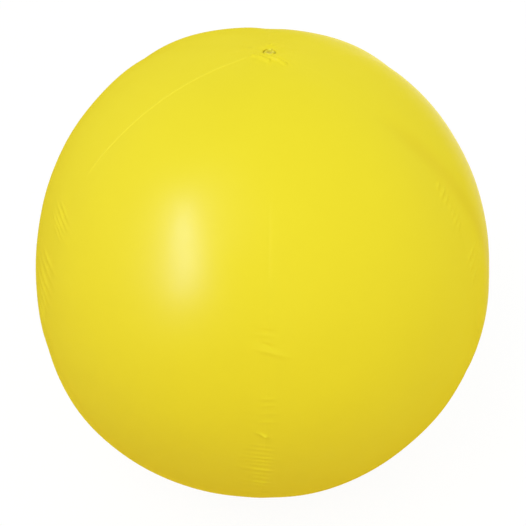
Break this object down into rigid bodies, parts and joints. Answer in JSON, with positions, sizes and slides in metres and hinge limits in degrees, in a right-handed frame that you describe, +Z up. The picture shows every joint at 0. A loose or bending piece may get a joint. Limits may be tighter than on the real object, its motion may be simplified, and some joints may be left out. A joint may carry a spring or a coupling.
{
  "type": "inflatable ball",
  "caption": "Round inflatable ball of welded vinyl gores, with a push-in air valve at one pole that holds a tethered plug and a check flap; it rests on a small flat patch.",
  "frame": {"origin": "middle of the flat patch at the bottom pole that the ball rests on", "axes": "+Z up through both poles, with the valve at the top; -Y towards a seam and the plug's pull tab, with the tether towards +Y"},
  "size_m": [0.474, 0.466, 0.4943],
  "materials": {
    "yellow_film": "gloss",
    "milky_vinyl": "satin"
  },
  "bodies": {
    "skin": {"gore_1": "yellow_film", "gore_2": "yellow_film", "gore_3": "yellow_film", "gore_4": "yellow_film", "gore_5": "yellow_film", "gore_6": "yellow_film", "top_disc": "yellow_film", "bottom_disc": "yellow_film", "valve_flange": "milky_vinyl", "valve_collar": "milky_vinyl"},
    "stem": {"valve_stem": "milky_vinyl"},
    "plug": {"valve_plug": "milky_vinyl"},
    "flap": {"check_flap": "milky_vinyl"}
  },
  "joints": [
    {"name": "stem_slide", "type": "slide", "parent": "skin", "child": "stem", "axis": [0, 0, 1], "range_m": [0, 0.02], "deforming": ["valve_collar"]},
    {"name": "plug_swing", "type": "hinge", "parent": "stem", "child": "plug", "pos_m": [0, 0.0051, 0.49409], "axis": [-1, 0, 0], "range_deg": [0, 145]},
    {"name": "flap_swing", "type": "hinge", "parent": "stem", "child": "flap", "pos_m": [0, 0.0031, 0.48134], "axis": [1, 0, 0], "range_deg": [0, 60]}
  ]
}
